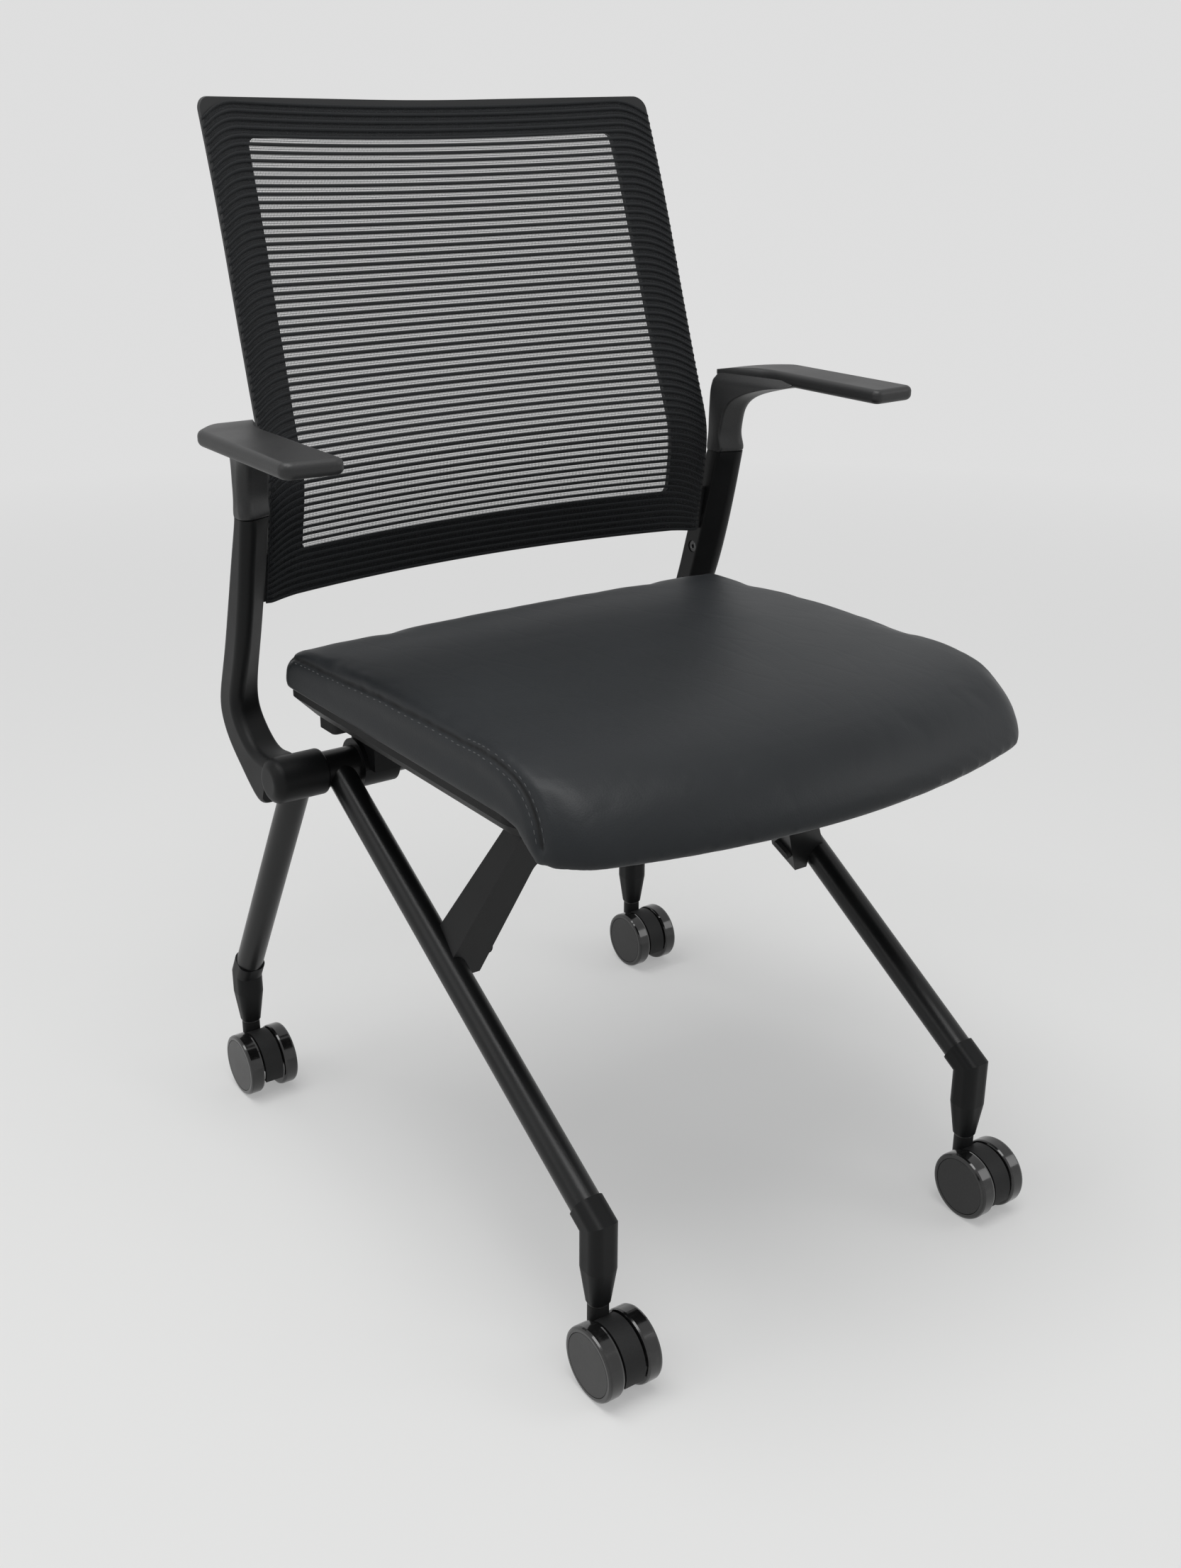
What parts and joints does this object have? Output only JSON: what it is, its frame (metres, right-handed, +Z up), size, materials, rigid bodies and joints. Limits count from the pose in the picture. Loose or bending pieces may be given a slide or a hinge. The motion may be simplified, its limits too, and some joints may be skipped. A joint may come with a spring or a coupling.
{
  "type": "nesting chair",
  "caption": "Black nesting armchair with a flip-up padded seat, a mesh back and twin-wheel casters",
  "frame": {"origin": "On the floor, midway in depth and in width between the outer sides of the chair", "axes": "+X to the sitter's left, -Y forward (the way the chair faces), +Z up"},
  "size_m": [0.6128, 0.6098, 0.9113],
  "materials": {
    "frame_paint": "satin",
    "moulded_black": "matte",
    "arm_pad_black": "matte",
    "caster_gloss": "gloss",
    "caster_matte": "matte",
    "seat_cover": "satin",
    "back_fabric": "matte",
    "seat_ply": "matte",
    "stop_rubber": "matte",
    "fastener_steel": "satin"
  },
  "bodies": {
    "root": {"cross_tube": "frame_paint", "front_leg_left": "frame_paint", "front_leg_right": "frame_paint", "rear_leg_left": "frame_paint", "rear_leg_right": "frame_paint", "front_foot_left": "moulded_black", "front_foot_right": "moulded_black", "rear_foot_left": "moulded_black", "rear_foot_right": "moulded_black", "seat_support": "frame_paint", "support_pads": "stop_rubber", "nesting_bumpers": "stop_rubber", "upright_left": "moulded_black", "upright_right": "moulded_black", "upright_screws": "fastener_steel", "arm_left": "arm_pad_black", "arm_right": "arm_pad_black", "back_frame": "moulded_black", "back_screws": "fastener_steel", "back_mesh": "back_fabric", "front_left_caster_stem": "fastener_steel", "front_right_caster_stem": "fastener_steel", "rear_left_caster_stem": "fastener_steel", "rear_right_caster_stem": "fastener_steel"},
    "seat": {"seat_cushion": "seat_cover", "seat_board": "seat_ply", "seat_pan": "moulded_black", "seat_hinge_left": "frame_paint", "seat_hinge_right": "frame_paint", "hinge_strap_left": "frame_paint", "hinge_strap_right": "frame_paint", "hinge_liners": "moulded_black", "flip_stops": "stop_rubber", "seat_screws": "fastener_steel"},
    "front_left_caster": {"front_left_caster_hood": "caster_matte", "front_left_caster_axle": "fastener_steel"},
    "front_left_wheel_right_body": {"front_left_wheel_right": "caster_gloss", "front_left_wheel_cap_right": "caster_matte"},
    "front_left_wheel_left_body": {"front_left_wheel_left": "caster_gloss", "front_left_wheel_cap_left": "caster_matte"},
    "front_right_caster": {"front_right_caster_hood": "caster_matte", "front_right_caster_axle": "fastener_steel"},
    "front_right_wheel_right_body": {"front_right_wheel_right": "caster_gloss", "front_right_wheel_cap_right": "caster_matte"},
    "front_right_wheel_left_body": {"front_right_wheel_left": "caster_gloss", "front_right_wheel_cap_left": "caster_matte"},
    "rear_left_caster": {"rear_left_caster_hood": "caster_matte", "rear_left_caster_axle": "fastener_steel"},
    "rear_left_wheel_right_body": {"rear_left_wheel_right": "caster_gloss", "rear_left_wheel_cap_right": "caster_matte"},
    "rear_left_wheel_left_body": {"rear_left_wheel_left": "caster_gloss", "rear_left_wheel_cap_left": "caster_matte"},
    "rear_right_caster": {"rear_right_caster_hood": "caster_matte", "rear_right_caster_axle": "fastener_steel"},
    "rear_right_wheel_right_body": {"rear_right_wheel_right": "caster_gloss", "rear_right_wheel_cap_right": "caster_matte"},
    "rear_right_wheel_left_body": {"rear_right_wheel_left": "caster_gloss", "rear_right_wheel_cap_left": "caster_matte"}
  },
  "joints": [
    {"name": "seat_flip", "type": "hinge", "parent": "root", "child": "seat", "pos_m": [0, 0.1382, 0.372], "axis": [-1, 0, 0], "range_deg": [0, 56]},
    {"name": "front_left_swivel", "type": "hinge", "parent": "root", "child": "front_left_caster", "pos_m": [0.1978, -0.2558, 0.054], "axis": [0, 0, 1], "continuous": true},
    {"name": "front_left_roll_right", "type": "hinge", "parent": "front_left_caster", "child": "front_left_wheel_right_body", "pos_m": [0.1803, -0.2768, 0.03], "axis": [1, 0, 0], "continuous": true},
    {"name": "front_left_roll_left", "type": "hinge", "parent": "front_left_caster", "child": "front_left_wheel_left_body", "pos_m": [0.2153, -0.2768, 0.03], "axis": [1, 0, 0], "continuous": true},
    {"name": "front_right_swivel", "type": "hinge", "parent": "root", "child": "front_right_caster", "pos_m": [-0.1978, -0.2558, 0.054], "axis": [0, 0, 1], "continuous": true},
    {"name": "front_right_roll_right", "type": "hinge", "parent": "front_right_caster", "child": "front_right_wheel_right_body", "pos_m": [-0.2153, -0.2768, 0.03], "axis": [1, 0, 0], "continuous": true},
    {"name": "front_right_roll_left", "type": "hinge", "parent": "front_right_caster", "child": "front_right_wheel_left_body", "pos_m": [-0.1803, -0.2768, 0.03], "axis": [1, 0, 0], "continuous": true},
    {"name": "rear_left_swivel", "type": "hinge", "parent": "root", "child": "rear_left_caster", "pos_m": [0.2333, 0.2866, 0.054], "axis": [0, 0, 1], "continuous": true},
    {"name": "rear_left_roll_right", "type": "hinge", "parent": "rear_left_caster", "child": "rear_left_wheel_right_body", "pos_m": [0.2158, 0.2656, 0.03], "axis": [1, 0, 0], "continuous": true},
    {"name": "rear_left_roll_left", "type": "hinge", "parent": "rear_left_caster", "child": "rear_left_wheel_left_body", "pos_m": [0.2508, 0.2656, 0.03], "axis": [1, 0, 0], "continuous": true},
    {"name": "rear_right_swivel", "type": "hinge", "parent": "root", "child": "rear_right_caster", "pos_m": [-0.2333, 0.2866, 0.054], "axis": [0, 0, 1], "continuous": true},
    {"name": "rear_right_roll_right", "type": "hinge", "parent": "rear_right_caster", "child": "rear_right_wheel_right_body", "pos_m": [-0.2508, 0.2656, 0.03], "axis": [1, 0, 0], "continuous": true},
    {"name": "rear_right_roll_left", "type": "hinge", "parent": "rear_right_caster", "child": "rear_right_wheel_left_body", "pos_m": [-0.2158, 0.2656, 0.03], "axis": [1, 0, 0], "continuous": true}
  ]
}
